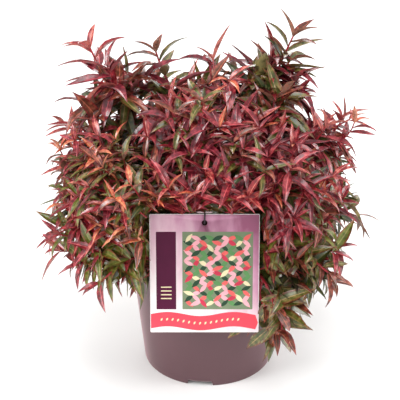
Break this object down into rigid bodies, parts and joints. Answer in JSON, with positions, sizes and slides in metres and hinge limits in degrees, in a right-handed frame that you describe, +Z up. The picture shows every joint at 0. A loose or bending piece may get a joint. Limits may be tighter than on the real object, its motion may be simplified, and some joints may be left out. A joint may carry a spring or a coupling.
{
  "type": "potted leucothoe shrub",
  "caption": "Dome-shaped evergreen shrub with narrow pointed coral, burgundy and olive leaves, in a round tapered nursery pot with a hang tag.",
  "frame": {"origin": "centre of the pot's flat underside, on the surface it stands on", "axes": "+Z up, -Y to the front where the tag hangs, +X to the right seen from the front"},
  "size_m": [0.4067, 0.3655, 0.418],
  "materials": {
    "pot": "smooth matte mauve-brown moulding",
    "soil": "crumbly dark potting compost",
    "bark": "reddish brown bark with fine ridges",
    "twig": "smooth crimson young stems",
    "low_leaves": "semi-gloss green and bronze leaves",
    "middle_leaves": "semi-gloss burgundy and bronze leaves",
    "top_leaves": "semi-gloss coral red young leaves",
    "tag": "smooth pale pink printed card",
    "strap": "dark grey soft plastic"
  },
  "bodies": {
    "root": {"pot": "pot", "soil": "soil", "stem": "bark", "tag": "tag", "tag_strap": "strap", "bough_low_front_right": "bark", "bough_low_right": "bark", "bough_low_back_right": "bark", "bough_low_back": "bark", "bough_low_back_left": "bark", "bough_low_left": "bark", "bough_low_front_left": "bark", "bough_low_front": "bark", "bough_hanging_right": "bark", "bough_middle_front": "bark", "bough_middle_front_right": "bark", "bough_middle_right": "bark", "bough_middle_back_right": "bark", "bough_middle_back_left": "bark", "bough_middle_left": "bark", "bough_middle_front_left": "bark", "bough_top_right": "bark", "bough_top_back": "bark", "bough_top_back_left": "bark", "bough_top_left": "bark", "bough_top_middle": "bark", "bough_inner_front": "bark", "foliage_low_front_right": "low_leaves", "foliage_low_right": "low_leaves", "foliage_low_back_right": "low_leaves", "foliage_low_back": "low_leaves", "foliage_low_back_left": "low_leaves", "foliage_low_left": "low_leaves", "foliage_low_front_left": "low_leaves", "foliage_low_front": "low_leaves", "foliage_hanging_right": "low_leaves", "foliage_middle_front": "middle_leaves", "foliage_middle_front_right": "middle_leaves", "foliage_middle_right": "middle_leaves", "foliage_middle_back_right": "middle_leaves", "foliage_middle_back_left": "middle_leaves", "foliage_middle_left": "middle_leaves", "foliage_middle_front_left": "middle_leaves", "foliage_top_right": "top_leaves", "foliage_top_back": "top_leaves", "foliage_top_back_left": "top_leaves", "foliage_top_left": "top_leaves", "foliage_top_middle": "top_leaves", "foliage_inner_front": "top_leaves"}
  },
  "joints": []
}
